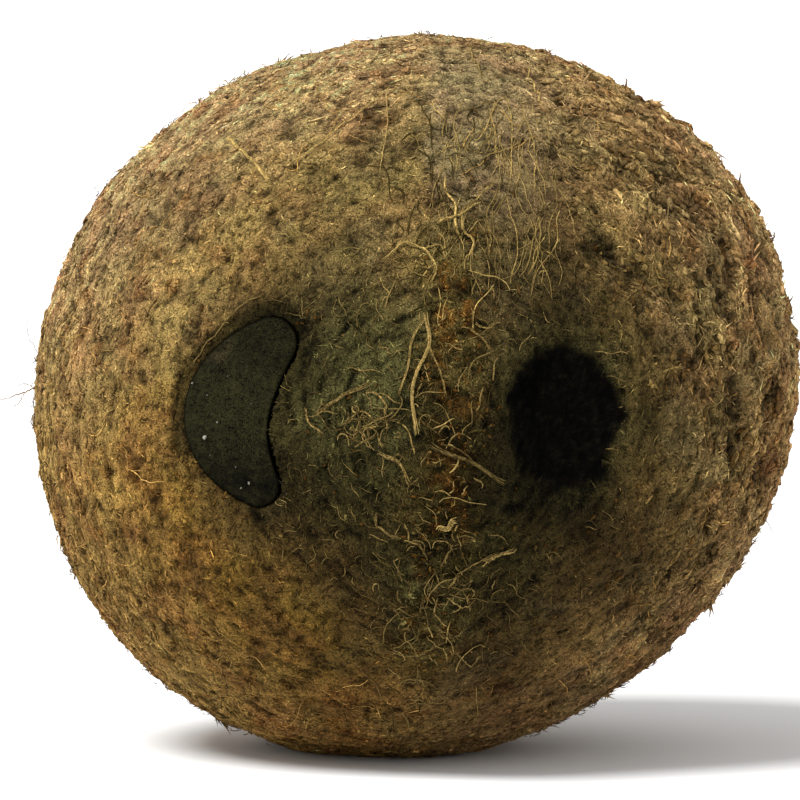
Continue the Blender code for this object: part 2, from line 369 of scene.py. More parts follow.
def coat_paint(points, zone):
    """Brown, mixed in turn with gold and straw, umber and rust spots, the grey band, the khaki fringe, the
    worn sockets, the ridge and the eyes, times the patches; the lower left and the skin below the eyes then
    get painted shade. All of it is then multiplied by (1.08 + crumbs + speckle) and by lit, painted light and
    a little painted shade laid on by region."""
    colours = np.tile(BROWN, (len(points), 1))
    colours = mixed(colours, GOLD, zone["golden"])
    colours = mixed(colours, STRAW, zone["outer"] * (0.36 + 0.46 * zone["golden"]))
    spots = smooth_step(0.20, 0.60, rough(points, 0.0042, 21))
    colours = mixed(colours, UMBER, 0.6 * spots)
    colours = mixed(colours, RUST, 0.50 * smooth_step(0.25, 0.70, rough(points, 0.0028, 23)))
    colours = mixed(colours, GREY, 0.3 * smooth_step(0.1, 0.6, rough(points, 0.009, 27)))
    x, _, z = (points - middle).T
    band_grey = GREY * (0.65 + 0.35 * smooth_step(0.022, 0.040, points[:, 2] - middle[2]))[:, None]
    colours = mixed(colours, band_grey, 0.85 * zone["band"])
    colours = mixed(colours, KHAKI, 0.88 * zone["fringe"] * (1 - zone["band"]))
    upper = smooth_step(-0.016, 0.012, z) * (1 - 0.45 * smooth_step(0.004, 0.016, x))
    colours = mixed(colours, OLIVE + (MOSS - OLIVE) * upper[:, None], zone["bare"])
    colours = mixed(colours, PITH * (1.1 + 0.7 * upper[:, None]), 0.8 * zone["ridge"])
    along_ridge = smooth_step(0.0062, 0.0026, np.abs(x - 0.0012 - ridge_line(z)))
    rusty = smooth_step(0.12, 0.42, rough(points, 0.0030, 25)) * along_ridge
    colours = mixed(colours, AMBER * (0.6 + 0.4 * upper[:, None]), 0.75 * zone["ridge"] * rusty)
    colours = mixed(colours, OLIVE * 0.6, 0.8 * zone["ledge"])
    # Painted shade round the plug
    colours = mixed(colours, OLIVE * 0.5, 0.55 * zone["halo"])
    # Painted shade down the lower left of the open eye's pit, and a small dark spot at its right
    colours = mixed(colours, OLIVE * 0.30, 0.75 * zone["sooty"])
    colours *= patchiness(points)[:, None]
    # The open eye's pit: dark tissue, made near-black with painted shade for its depth
    colours = mixed(colours, EYE_BLACK_AND_SHADE * np.exp(1.6 * noise(points, 0.0006, 37) - 0.2)[:, None], zone["pit"])
    # Painted shade in the crack round the plug and under it
    colours = mixed(colours, EYE_BLACK_AND_SHADE, zone["kidney"])
    # Painted shade over the lower left, which also dulls its yellow
    shaded_lower_left = smooth_step(0.030, -0.012, z) * smooth_step(0.012, -0.010, x) * (1 - zone["bare"])
    colours *= 1 - (1 - LOWER_LEFT_SHADE) * shaded_lower_left[:, None]
    # Painted shade below the eyes
    colours *= 1 - (1 - BELOW_EYES_SHADE) * zone["dusk"][:, None]
    above_plug = oval(x, z, (-0.0160, 0.0310), (0.034, 0.020))[:, None]
    colours *= 1 - 0.22 * above_plug * (1 - zone["bare"])[:, None]
    blush = np.maximum(rough(points, 0.0050, 33), -0.4)[:, None] * (1 - zone["bare"])[:, None]
    colours *= 1 + blush * [0.05, -0.06, 0.0]
    mossy = smooth_step(-0.4, 0.4, rough(points, 0.0030, 29))
    colours = mixed(colours, MOSS * 1.5, 0.7 * zone["matted"] * mossy)
    # The crease pattern paints the crumbs lighter and the creases between them darker, and the felt's hollows
    # darker: painted shade over the relief
    crumbs = (0.22 + 0.12 * zone["coarse"]) * (1 - zone["bare"]) * creases(points, 0.0020, 45)
    crumbs += 0.46 * zone["coarse"] * creases(points, 0.0046, 43)
    crumbs -= 0.55 * hollows(points) * (1 - zone["bare"])
    crumbs += 0.50 * zone["bare"] * creases(points, 0.0013, 91)
    crumbs += 0.30 * zone["ridge"] * creases(points, 0.0024, 97)
    speckle = 0.32 * rough(points, 0.0014, 31) + 0.30 * noise(points, 0.0005, 35)
    # lit is painted light: brighter at the top left, along the top, at the right and along the bottom, with
    # painted shade in an oval high on the right of the ridge
    top_left = 0.16 * smooth_step(0.026, 0.038, z) * smooth_step(-0.014, -0.024, x)
    lit = 1 + (top_left + 0.20 * smooth_step(0.042, 0.050, z)) * (1 - zone["bare"])
    lit += 0.12 * smooth_step(0.036, 0.050, x) * smooth_step(-0.020, 0.0, z)
    lit += 0.28 * smooth_step(-0.042, -0.050, z) - 0.15 * oval(x, z, (0.0080, 0.0340), (0.026, 0.014))
    return colours * np.maximum((1.08 + crumbs + speckle) * lit, DARKEST)[:, None]


# %% [markdown]
# ## The shell
#
# The shell is the felt that lies against the nut. Its lumps, pits and pith are real relief,
# because a bump in the material alone goes flat at the rim, where a coconut is roughest.

# %% The shell's relief
def unit(vectors):
    """Each vector divided by its own length."""
    return vectors / np.maximum(np.linalg.norm(vectors, axis=-1, keepdims=True), 1e-12)


def shell_relief(points, zone):
    """Metres along the normal: lumps everywhere, coarser to the right, crumbs on the ridge, hollows in
    the felt, the ledge beside the plug, and the recess that the plug sits in."""
    worn = np.maximum(zone["bare"], zone["pit"])
    lumps = 0.00035 * rough(points, 0.011, 41)
    felt = (0.00016 + 0.00030 * zone["coarse"]) * (1 - 0.8 * worn) * creases(points, 0.0020, 45)
    felt += (0.00012 + 0.00048 * zone["coarse"]) * (1 - worn) * creases(points, 0.0046, 43)
    felt += 0.00016 * zone["bare"] * creases(points, 0.0013, 91)
    pith = np.maximum(zone["ridge"], zone["matted"]) * (0.0003 + 0.0005 * rough(points, 0.0022, 51))
    sunk = -0.0003 * hollows(points) * (1 - worn) - 0.0005 * zone["ledge"] - 0.0020 * zone["kidney"]
    return lumps + felt + pith + sunk


# %% [markdown]
# ## From arrays to pieces
#
# Every surface here starts as numbers: points, faces and a colour at each point. A mesh takes
# them whole, which is far quicker than adding one face at a time. Each piece of the coat is then
# marked as riding on the nut's body, because nothing on a coconut comes off by itself.

# %% Putting arrays into a mesh
def new_piece(name, points, faces, material, places=None, **attributes):
    """A smooth-shaded object of equal-sided faces, with its colours or numbers at each point."""
    mesh = bpy.data.meshes.new(name)
    mesh.vertices.add(len(points))
    mesh.vertices.foreach_set("co", np.ascontiguousarray(points, np.float32).ravel())
    mesh.loops.add(faces.size)
    mesh.loops.foreach_set("vertex_index", np.ascontiguousarray(faces, np.int32).ravel())
    mesh.polygons.add(len(faces))
    mesh.polygons.foreach_set("loop_start", np.arange(0, faces.size, faces.shape[1], dtype=np.int32))
    mesh.update(calc_edges=True)
    mesh.polygons.foreach_set("use_smooth", np.ones(len(faces), dtype=bool))
    if places is not None:
        flat_map = mesh.uv_layers.new(name="OFBake")
        flat_map.uv.foreach_set("vector", np.ascontiguousarray(places, np.float32).ravel())
    for label, values in attributes.items():
        rgba = np.concatenate([np.clip(values, 0, 1), np.ones((len(values), 1))], 1)
        layer = mesh.attributes.new(label, "FLOAT_COLOR", "POINT")
        layer.data.foreach_set("color", rgba.astype(np.float32).ravel())
    mesh.materials.append(material)
    piece = bpy.data.objects.new(name, mesh)
    bpy.context.scene.collection.objects.link(piece)
    return piece


def coconut_piece(*what, **attributes):
    """A piece of the nut, which moves with its only body and is made of its shell's stuff."""
    piece = new_piece(*what, **attributes)
    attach(piece, "root")
    print(f"{piece.name}: {len(piece.data.loops) - 2 * len(piece.data.polygons)} triangles")
    return piece


def normals_of(mesh):
    """The mesh's normal at each point, as an array of three columns."""
    found = np.empty(len(mesh.vertices) * 3, np.float32)
    mesh.vertex_normals.foreach_get("vector", found)
    return found.reshape(-1, 3).astype(float)


# %% [markdown]
# ## What coir looks like close up
#
# Coir is dull and dusty, with almost no shine. Between its fibres are pits far smaller than any cell of the
# mesh, so the finish darkens them with painted shade and dents them from a knotted noise, and a finer grain
# streaks what stands proud. The same finish, finer or coarser, serves felt, hair, pith and plug.

# %% The coir's finish
def node(tree, kind, **settings):
    """A new shader node of this kind, with each setting put on its input or, failing that, on itself."""
    made = tree.nodes.new(kind)
    for key, value in settings.items():
        if key in made.inputs:
            made.inputs[key].default_value = value
        else:
            setattr(made, key, value)
    return made


def joined(tree, source, sink):
    """A wire from one node's output to another node's input."""
    tree.links.new(source, sink)


def remapped(tree, value, low, high, to_low, to_high):
    """A value between low and high, moved to between to_low and to_high by a smooth step."""
    ranged = node(tree, "ShaderNodeMapRange", interpolation_type="SMOOTHSTEP")
    for key, number in (("From Min", low), ("From Max", high), ("To Min", to_low), ("To Max", to_high)):
        ranged.inputs[key].default_value = number
    joined(tree, value, ranged.inputs["Value"])
    return ranged.outputs["Result"]


def coir_finish(name, tangle, pit_depth, contrast, bump_mm, roughness, gloss):
    """The painted colour, darkened with painted shade in the small pits of the tangle and streaked by a finer
    grain.
    """
    material = bpy.data.materials.new(name)
    material.use_nodes = True
    tree = material.node_tree
    shader = tree.nodes["Principled BSDF"]
    shader.inputs["Roughness"].default_value = roughness
    shader.inputs["Specular IOR Level"].default_value = gloss
    paint = node(tree, "ShaderNodeAttribute", attribute_name="paint")
    place = node(tree, "ShaderNodeTexCoord")
    knots = node(tree, "ShaderNodeTexNoise", Scale=1 / tangle, Detail=4.0, Roughness=0.65, Distortion=1.2)
    grain = node(tree, "ShaderNodeTexNoise", Scale=3.5 / tangle, Detail=3.0, Roughness=0.7)
    for texture in (knots, grain):
        joined(tree, place.outputs["Object"], texture.inputs["Vector"])
    # Painted shade in the pits of the tangle
    pits = remapped(tree, knots.outputs["Fac"], 0.38, 0.49, 1 - pit_depth, 1)
    streaks = remapped(tree, grain.outputs["Fac"], 0.3, 0.7, 1 - contrast, 1 + contrast)
    depth = node(tree, "ShaderNodeMath", operation="MULTIPLY")
    joined(tree, pits, depth.inputs[0])
    joined(tree, streaks, depth.inputs[1])
    shade = node(tree, "ShaderNodeVectorMath", operation="SCALE")
    joined(tree, paint.outputs["Color"], shade.inputs[0])
    joined(tree, depth.outputs["Value"], shade.inputs["Scale"])
    joined(tree, shade.outputs["Vector"], shader.inputs["Base Color"])
    bump = node(tree, "ShaderNodeBump", Strength=1.0, Distance=bump_mm / 1000)
    joined(tree, depth.outputs["Value"], bump.inputs["Height"])
    joined(tree, bump.outputs["Normal"], shader.inputs["Normal"])
    return material


felt_finish = coir_finish("felted_coir", 0.0009, 0.80, 0.60, 0.60, 0.95, 0.04)
hair_finish = coir_finish("coir_hair", 0.0010, 0.62, 0.45, 0.04, 0.75, 0.08)
crumb_finish = coir_finish("pith_crumb", 0.0008, 0.60, 0.40, 0.15, 0.90, 0.04)
strand_finish = coir_finish("pale_strand", 0.0012, 0.45, 0.40, 0.08, 0.85, 0.03)
plug_finish = coir_finish("eye_plug", 0.0005, 0.85, 0.95, 0.14, 0.85, 0.04)

# %% [markdown]
# ## Raising the shell
#
# The plain form is stretched to the nut's own sizes, its normals are read off a draft, and every
# point is then moved along its normal by the relief. Points are never pushed below the floor,
# so the nut still rests on its flat spot. This surface takes the place of the CAD solid.

# %% Building the shell
SHELL_LIFT = 1.5  # the felt shows only between the hairs, in their shade, so it is painted brighter
WORN_DIMMER = 0.35  # the worn skin is dark already, so it is brightened less

plain = plain_form(directions)
plain_low, plain_high = plain.min(axis=0), plain.max(axis=0)


def fitted(points):
    """Stretched so that the whole plain form fills the nut's own sizes exactly."""
    return (points - (plain_low + plain_high) / 2) * (2 * half_sizes / (plain_high - plain_low)) + middle


shell_base = fitted(plain)
draft = new_piece("draft", shell_base, shell_quads, felt_finish)
shell_normals = normals_of(draft.data)
bpy.data.objects.remove(draft, do_unlink=True)
shell_zones = zones(shell_base)
shell_points = shell_base + shell_normals * shell_relief(shell_base, shell_zones)[:, None]
shell_points[:, 2] = np.maximum(shell_points[:, 2], 0)
shell_shade = SHELL_LIFT - WORN_DIMMER * shell_zones["bare"]
shell_paint = coat_paint(shell_points, shell_zones) * shell_shade[:, None]
shell = coconut_piece("coconut_shell", shell_points, shell_quads, felt_finish,
                      places=shell_places.reshape(-1, 2), paint=shell_paint)
shell_normals = normals_of(shell.data)
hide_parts("coconut")

# %% [markdown]
# ## The left eye's plug
#
# The left eye is closed by a soft dark plug the shape of a kidney, with a hairline gap round it.
# It is a piece of its own here, so that the gap is a real gap. It is laid in rings, from its
# middle out to its outline, then a wall down into the recess, and a back that nobody sees.

# %% The plug's outline and its surface
PLUG_MIDDLE = np.array([-0.0268, 0.0016])
PLUG_GAP = 0.00024
PLUG_ANGLES, PLUG_RINGS = 240, 48
PLUG_EDGE = 0.0007
PLUG_BROWN = np.array([0.0155, 0.0142, 0.0050])


def plug_outline(angles):
    """How far the kidney reaches from its middle at each angle, found by halving the span 24 times."""
    low, high = np.zeros(len(angles)), np.full(len(angles), 0.03)
    for _ in range(24):
        half = (low + high) / 2
        tried_x = PLUG_MIDDLE[0] + half * np.cos(angles)
        tried_z = PLUG_MIDDLE[1] + half * np.sin(angles)
        inside = plug_distance(tried_x, tried_z) < -PLUG_GAP
        low, high = np.where(inside, half, low), np.where(inside, high, half)
    return low


def on_eye_end(x, z, rounds=12):
    """The plain shell's points under x and z, by correcting a first guess by its own miss."""
    aim_x, aim_z = x.copy(), z.copy()
    for _ in range(rounds):
        across = np.stack([aim_x / half_sizes[0], np.zeros(len(x)), aim_z / half_sizes[2]], 1)
        across[:, 1] = -np.sqrt(np.maximum(1 - across[:, 0] ** 2 - across[:, 2] ** 2, 0.0004))
        found = fitted(plain_form(unit(across)))
        aim_x += 0.8 * (x - found[:, 0])
        aim_z += 0.8 * (z + middle[2] - found[:, 2])
    return found


angles = np.linspace(0, 2 * pi, PLUG_ANGLES, endpoint=False)
reach = plug_outline(angles)
print(f"the plug reaches {1000 * reach.min():.1f} to {1000 * reach.max():.1f} mm from its middle")

# %% [markdown]
# ## The plug, ring by ring
#
# The plug's face follows the shell under it, rounds off at its edge and is a little hollow in
# the middle. It is nearly black, with two paler scuffs near its top.

# %% Building the plug
out = np.sqrt(np.linspace(0.0004, 1, PLUG_RINGS))[:, None] * reach
flat_x = (PLUG_MIDDLE[0] + out * np.cos(angles)).ravel()
flat_z = (PLUG_MIDDLE[1] + out * np.sin(angles)).ravel()
top = on_eye_end(flat_x, flat_z)
inside = -plug_distance(flat_x, flat_z) - PLUG_GAP
rounding = 1 - np.sqrt(np.clip(1 - (1 - np.clip(inside / PLUG_EDGE, 0, 1)) ** 2, 0, 1))
top[:, 1] += 0.0006 * rounding - 0.0004 * np.clip(inside / 0.006, 0, 1)
top[:, 1] -= 0.00018 * rough(top, 0.0030, 61, 4)
ring = np.arange(PLUG_ANGLES)
following = np.roll(ring, -1)
rows = [np.stack([ring, ring + PLUG_ANGLES, following + PLUG_ANGLES, following], 1) + k * PLUG_ANGLES
        for k in range(PLUG_RINGS)]
wall = top[-PLUG_ANGLES:] + [0, 0.0012, 0]
plug_points = np.concatenate([top, wall, [top[:PLUG_ANGLES].mean(axis=0)], [wall.mean(axis=0)]])
hub, back = len(plug_points) - 2, len(plug_points) - 1
last = PLUG_RINGS * PLUG_ANGLES
fans = [np.stack([np.full(PLUG_ANGLES, hub), ring, following], 1),
        np.stack([np.full(PLUG_ANGLES, back), following + last, ring + last], 1)]
halves = [quad[:, corners] for quad in rows for corners in ([0, 1, 2], [0, 2, 3])]
plug_tris = np.concatenate(halves + fans)
plug_x, _, plug_z = (plug_points - middle).T
scuffs = (0.9 * oval(plug_x, plug_z, (-0.0289, 0.0098), (0.0026, 0.0018))
          + 0.7 * oval(plug_x, plug_z, (-0.0273, 0.0119), (0.0016, 0.0022)))
plug_tone = (1 + 0.5 * rough(plug_points, 0.0012, 65) + 0.5 * noise(plug_points, 0.0005, 67) - 0.25
             + 1.3 * smooth_step(-0.009, 0.000, plug_z) - 0.6 * smooth_step(0.004, 0.012, plug_z))
plug_paint = np.tile(PLUG_BROWN, (len(plug_points), 1)) * plug_tone[:, None]
plug_paint = mixed(plug_paint, GREY * 0.5, 0.35 * scuffs)
# The plug's edge is painted darker: painted shade along the crack round it
plug_paint *= (0.12 + 0.88 * smooth_step(0.0, 0.0003, -plug_distance(plug_x, plug_z) - PLUG_GAP))[:, None]
plug = coconut_piece("eye_plug", plug_points, plug_tris, plug_finish, paint=plug_paint)

# %% [markdown]
# ## Coir, hair by hair
#
# Every hair is a closed three-sided spine with a point, bent a little, with its root in the felt.
# Two rings and a point make ten triangles, so that tens of thousands of hairs are still light.

# %% One mesh of many hairs
def hair_piece(name, roots, ups, ways, bends, lengths, widths, paint, material,
               tapers=(0.8, 1.0), fades=(0.42, 1.0, 1.35)):
    """Hair i's middle is root + L (s way + s^2 bend) for s from 0 to 1. It is ringed by triangles, whose
    radius is w/2 times each of tapers in turn, and closed by a cap at s = 0 and a point at s = 1. Its
    paint is multiplied by each of fades in turn, because a root lies in the shade of its neighbours."""
    count, rings = len(roots), len(tapers)
    s = (np.arange(rings + 1) / rings)[None, :, None]
    line = roots[:, None] + lengths[:, None, None] * (s * ways[:, None] + s**2 * bends[:, None])
    along = unit(ways[:, None] + 2 * s[:, :rings] * bends[:, None])
    left = unit(np.cross(along, ups[:, None]))
    over = np.cross(left, along)
    turn = 2 * pi * np.arange(3) / 3
    rim = left[:, :, None] * np.cos(turn)[:, None] + over[:, :, None] * np.sin(turn)[:, None]
    rim = line[:, :rings, None] + rim * (widths[:, None] / 2 * np.array(tapers))[:, :, None, None]
    each = 3 * rings + 1
    points = np.concatenate([rim.reshape(count, 3 * rings, 3), line[:, rings:]], 1)
    points[..., 2] = np.maximum(points[..., 2], 0)
    one = [(0, 1, 2)]
    for k in range(0, 3 * rings - 3, 3):
        for i in range(3):
            j = (i + 1) % 3
            one += [(k + i, k + 3 + j, k + j), (k + i, k + 3 + i, k + 3 + j)]
    one += [(3 * rings - 3 + i, each - 1, 3 * rings - 3 + (i + 1) % 3) for i in range(3)]
    one = np.array(one)
    faces = (one + each * np.arange(count)[:, None, None]).reshape(-1, 3)
    side = ceil(sqrt(count))
    corner = np.stack([np.arange(count) % side, np.arange(count) // side], 1)
    spot = np.array([((1 + 2 * (i % 3)) / 8, (i // 3 + 0.5) / (rings + 1)) for i in range(each - 1)]
                    + [(3 / 8, (rings + 0.5) / (rings + 1))])
    places = (corner[:, None, None] + spot[one]) / side
    colours = paint[:, None] * np.append(np.repeat(fades[:rings], 3), fades[rings])[:, None]
    return coconut_piece(name, points.reshape(-1, 3), faces, material,
                         places=places, paint=colours.reshape(-1, 3))


# %% [markdown]
# ## Sowing and combing
#
# A hair can grow anywhere on the shell, but not equally thickly. The number that each quad gets
# is its area times a density, so cells that are small or large in the mesh make no difference.
# Coir lies nearly flat, so each hair has a heading over the surface and a small lift off it.

# %% Where hairs grow
quad_points = shell_points[shell_quads]
one_way, other_way = quad_points[:, 2] - quad_points[:, 0], quad_points[:, 3] - quad_points[:, 1]
quad_area = 0.5 * np.linalg.norm(np.cross(one_way, other_way), axis=1)
crowded = smooth_step(0.1, -0.1, shell_points[:, 1] / LENGTH)
print(f"the shell has {1e4 * quad_area.sum():.0f} cm2 of surface")


def seed_hairs(density, draws):
    """Spots on the shell, as many to a square metre as density says at each quad, and their normals."""
    expected = quad_area * np.maximum(density, 0)[shell_quads].mean(axis=1)
    count = int(expected.sum())
    chosen = np.searchsorted(np.cumsum(expected) / expected.sum(), draws.random(count))
    u, v = draws.random((2, count, 1))
    a, b, c, d = (shell_quads[chosen, k] for k in range(4))

    def spread(values):
        """The mean of a quad's four corners, weighted by how near the spot (u, v) is to each."""
        return ((1 - u) * (1 - v) * values[a] + u * (1 - v) * values[b]
                + u * v * values[c] + (1 - u) * v * values[d])

    return spread(shell_points), unit(spread(shell_normals))


def lying(ups, heading, lift):
    """Unit directions that rise from the surface by lift, and whose heading turns from straight away
    from the eye end (0) to round the nut (a quarter turn); then the same directions laid flat."""
    away = unit(np.array([0.0, 1.0, 0.0]) - ups * ups[:, 1:2])
    round_nut = np.cross(ups, away)
    flat = away * np.cos(heading)[:, None] + round_nut * np.sin(heading)[:, None]
    return flat * np.cos(lift)[:, None] + ups * np.sin(lift)[:, None], flat


# %% [markdown]
# ## The felt
#
# Most of the coat is felt: hairs about a millimetre long, lying round the nut and over each
# other every way. They are thickest on the worn skin, where they are short and dark, and they
# leave the little hollows of the felt open, so that its own shade shows there.

# %% The felt's hairs
BRIGHTEST_HAIR = 2.4
BACK_FROM = -0.022
draws = np.random.default_rng(5)
worn = np.maximum(shell_zones["bare"], shell_zones["fringe"])
density = 1e6 * (0.55 + 1.0 * crowded + 2.4 * worn) * (1 - 0.5 * shell_zones["band"])
density *= (1 - np.maximum(shell_zones["kidney"], shell_zones["pit"])) * (1 - 0.7 * shell_zones["ledge"])
density *= (1 - 0.85 * hollows(shell_points) * (1 - shell_zones["bare"])) * (1 - 0.5 * shell_zones["coarse"])
spots, ups = seed_hairs(density, draws)
zone = zones(spots)
count = len(spots)
print(f"{count} hairs")

heading = pi / 2 + 1.8 * rough(spots, 0.0035, 71) + 0.9 * draws.normal(size=count)
lift = np.radians(4 + 16 * draws.random(count) ** 2 + 10 * zone["coarse"] * draws.random(count))
ways, flat_ways = lying(ups, heading, lift)
bends = (-ups * (0.9 * np.sin(lift))[:, None]
         + np.cross(ups, flat_ways) * (0.9 * draws.normal(size=count))[:, None])
lengths = 0.001 * (0.5 + 0.8 * draws.random(count) ** 1.5 + 0.5 * zone["coarse"]
                   + 0.4 * zone["outer"] - 0.1 * zone["bare"])
widths = 0.001 * (0.13 + 0.11 * draws.random(count) + 0.06 * zone["coarse"] - 0.02 * zone["bare"])
spread_of_tone = 0.42 + 0.36 * zone["bare"] + 0.16 * zone["ridge"]
tone = np.exp(spread_of_tone * (draws.normal(size=count) - spread_of_tone / 2) + 0.05 + 0.13 * zone["bare"])
tone = np.minimum(tone, BRIGHTEST_HAIR)
paint = coat_paint(spots, zone) * tone[:, None] * 1.1
roots = spots - ups * 0.0001

octant = (spots[:, 0] > 0) + 2 * (spots[:, 1] > BACK_FROM) + 4 * (spots[:, 2] > HEIGHT / 2)
labels = [f"{height}_{depth}_{side}" for height in ("lower", "upper")
          for depth in ("front", "back") for side in ("left", "right")]
for number, label in enumerate(labels):
    own = np.flatnonzero(octant == number)
    hair_piece("coir_" + label, roots[own], ups[own], ways[own], bends[own],
               lengths[own], widths[own], paint[own], hair_finish)

# %% [markdown]
# ## Tufts
#
# Where the husk was torn off, its coarse fibres still stand in tufts: a few together, leaning
# the same way, their tips drawn to a point. They make the rim of the nut ragged.

# %% Tufts of coarse coir
EACH = 8
draws = np.random.default_rng(23)
tufted = 0.06 + 0.94 * shell_zones["coarse"] + 0.50 * shell_zones["outer"] * (1 - shell_zones["coarse"])
tufted *= (1 - shell_zones["bare"]) * (1 - shell_zones["band"]) * smooth_step(0.0, 0.012, shell_points[:, 2])
tuft_spots, tuft_ups = seed_hairs(3.2e4 * tufted, draws)
tufts = len(tuft_spots)
tuft_heading = pi / 2 + 0.55 * draws.normal(size=tufts) + 0.9 * rough(tuft_spots, 0.006, 75)
tuft_heading += pi * (draws.random(tufts) < 0.3)
tuft_lift = np.radians(5 + 22 * draws.random(tufts) ** 2)
tuft_length = 0.001 * (1.0 + 1.9 * draws.random(tufts))
own = np.repeat(np.arange(tufts), EACH)
count = len(own)
ups = tuft_ups[own]
_, flat_ways = lying(ups, tuft_heading[own], tuft_lift[own])
sideways = np.cross(ups, flat_ways)
start = 0.00045 * draws.normal(size=(2, count))
spots = tuft_spots[own] + sideways * start[0][:, None] + flat_ways * start[1][:, None] - ups * 0.00015
ways, _ = lying(ups, tuft_heading[own] + 0.22 * draws.normal(size=count),
                tuft_lift[own] * (0.7 + 0.6 * draws.random(count)))
lengths = tuft_length[own] * (0.6 + 0.6 * draws.random(count))
bends = (-sideways * (0.6 * start[0] / lengths)[:, None]
         + sideways * (0.45 * draws.normal(size=count))[:, None])
bends += ups * (0.25 * draws.normal(size=count) - 0.1)[:, None]
widths = 0.001 * (0.18 + 0.20 * draws.random(count))
tuft_tone = np.exp(0.25 * draws.normal(size=tufts))
tone = tuft_tone[own] * np.exp(0.20 * draws.normal(size=count)) * 0.85
paint = coat_paint(spots, zones(spots)) * tone[:, None]
for label, chosen in (("left", spots[:, 0] < 0), ("right", spots[:, 0] >= 0)):
    own = np.flatnonzero(chosen)
    hair_piece("tufts_" + label, spots[own], ups[own], ways[own], bends[own], lengths[own],
               widths[own], paint[own], hair_finish, (0.7, 1.0, 0.8), (0.35, 0.75, 0.95, 1.05))

# %% [markdown]
# ## Long fibres
#
# Over the sides and the far end the husk's long fibres are still stuck to the shell. They run
# lengthwise, as they grew, and bend with it: each one curves down by its length over the nut's
# mean width, which keeps its tip on the shell.

# %% Long fibres over the sides and the far end
draws = np.random.default_rng(27)
combed = smooth_step(-0.006, 0.014, shell_points[:, 1]) * smooth_step(0.0, 0.004, shell_points[:, 2])
spots, ups = seed_hairs(9.0e4 * combed * smooth_step(-0.6, 0.6, rough(shell_points, 0.012, 79)), draws)
ups = unit((spots - middle) / half_sizes**2)
count = len(spots)
lengths = 0.001 * (3 + 9 * draws.random(count) ** 1.5)
ways, flat_ways = lying(ups, 0.35 * draws.normal(size=count) + 0.5 * rough(spots, 0.015, 81), np.zeros(count))
bends = (-ups * (lengths / (WIDTH + LENGTH) * 2)[:, None]
         + np.cross(ups, flat_ways) * (0.16 * draws.normal(size=count))[:, None])
widths = 0.001 * (0.12 + 0.12 * draws.random(count))
tint = np.where(draws.random(count)[:, None] < 0.5, STRAW * 0.8, RUST)
paint = mixed(coat_paint(spots, zones(spots)), tint, np.full(count, 0.45))
paint *= np.exp(0.25 * draws.normal(size=count))[:, None]
hair_piece("long_fibres", spots + ups * 0.00025, ups, ways, bends, lengths, widths, paint, hair_finish,
           (0.5, 0.9, 1.0, 0.9, 0.7), (0.6, 0.9, 1.0, 1.0, 1.0, 1.0))

# %% [markdown]
# ## Pith
#
# Pith is what held the husk's fibres together. It is left along the ridge, and here and there in
# the felt, as small rusty crumbs. A crumb is a lump of three uneven rings and a top, flat
# underneath and sunk into the felt, so that no two are alike and none seems to hover.

# %% One mesh of many crumbs
CRUMB_SIDES = 6
CRUMB_RINGS = ((0.85, -0.35, 0.40), (1.0, 0.30, 0.85), (0.62, 0.80, 1.10))  # radius, height, shade


def crumb_piece(name, roots, ups, flat_ways, lengths, widths, heights, paint, draws):
    """Crumb i is three rings and a top. Each ring's radius is a share of l/2 and w/2, its height a
    share of h, and every corner is then pushed in or out by a fifth at random."""
    count = len(roots)
    sideways = np.cross(ups, flat_ways)
    turn = 2 * pi * np.arange(CRUMB_SIDES) / CRUMB_SIDES
    rings = []
    for radius, rise, _ in CRUMB_RINGS:
        reach = radius * (1 + 0.22 * draws.normal(size=(count, CRUMB_SIDES, 1)))
        level = rise + 0.15 * draws.normal(size=(count, CRUMB_SIDES, 1))
        ahead = flat_ways[:, None] * reach * (lengths / 2)[:, None, None] * np.cos(turn)[:, None]
        aside = sideways[:, None] * reach * (widths / 2)[:, None, None] * np.sin(turn)[:, None]
        rings.append(roots[:, None] + ahead + aside + ups[:, None] * level * heights[:, None, None])
    points = np.concatenate(rings + [(roots + ups * heights[:, None])[:, None]], 1)
    points[..., 2] = np.maximum(points[..., 2], 0)
    each = CRUMB_SIDES * len(CRUMB_RINGS) + 1
    one = [(0, i + 1, i) for i in range(1, CRUMB_SIDES - 1)]
    for k in range(0, each - 1, CRUMB_SIDES):
        for i in range(CRUMB_SIDES):
            j = (i + 1) % CRUMB_SIDES
            if k + CRUMB_SIDES < each - 1:
                above_i, above_j = k + CRUMB_SIDES + i, k + CRUMB_SIDES + j
                one += [(k + i, k + j, above_j), (k + i, above_j, above_i)]
            else:
                one.append((k + i, k + j, each - 1))
    one = np.array(one)
    faces = (one + each * np.arange(count)[:, None, None]).reshape(-1, 3)
    seen_from_top = np.array([(0.5 + 0.44 * share * cos(a), 0.5 + 0.44 * share * sin(a))
                              for share in (1.0, 0.75, 0.4) for a in turn] + [(0.5, 0.5)])
    side = ceil(sqrt(count))
    corner = np.stack([np.arange(count) % side, np.arange(count) // side], 1)
    places = (corner[:, None, None] + seen_from_top[one]) / side
    # The lowest ring is painted darker and the top lighter: painted shade under each crumb and painted light
    # on its top
    shades = np.append(np.repeat([shade for _, _, shade in CRUMB_RINGS], CRUMB_SIDES), 1.15)
    colours = paint[:, None] * shades[:, None]
    return coconut_piece(name, points.reshape(-1, 3), faces, crumb_finish,
                         places=places, paint=colours.reshape(-1, 3))


# %% [markdown]
# ## Where the crumbs lie
#
# They crowd along the ridge and in the two mats beside it, are coarse at the right, and are
# missing from both eyes. A crumb is about half a millimetre wide, and a quarter are tinted amber.

